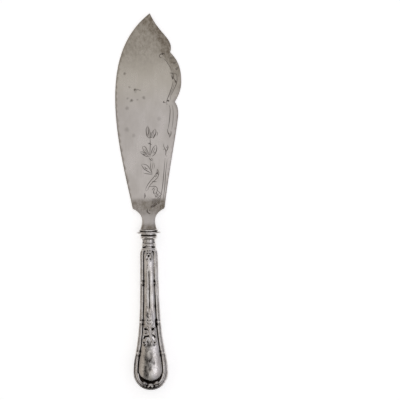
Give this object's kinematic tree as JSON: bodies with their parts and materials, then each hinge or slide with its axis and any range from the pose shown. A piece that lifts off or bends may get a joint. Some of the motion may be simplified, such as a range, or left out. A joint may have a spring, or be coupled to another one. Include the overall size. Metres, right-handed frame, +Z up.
{
  "type": "fish server",
  "caption": "Broad silver fish slice with a scalloped back and a lifted tip, on a filled handle with reeds, ribbons, leaf, scrolls and a plain boss.",
  "frame": {"origin": "middle of the bounding box on the surface that the server lies on", "axes": "+Y from the butt of the handle to the tip of the blade, +Z up out of the engraved face, +X towards the scalloped back"},
  "size_m": [0.0534, 0.3006, 0.0154],
  "materials": {
    "blade_silver": "rolled silver plate with a satin, lightly tarnished face",
    "cast_silver": "cast and polished silver with tarnish in its grooves",
    "handle_silver": "stamped and polished silver with dark tarnish in its grooves",
    "tang_steel": "drawn steel rod",
    "cement": "dull resin cement"
  },
  "bodies": {
    "root": {"blade": "blade_silver", "bolster": "cast_silver", "tang": "tang_steel", "handle_front": "handle_silver", "handle_back": "handle_silver", "handle_filler": "cement"}
  },
  "joints": []
}
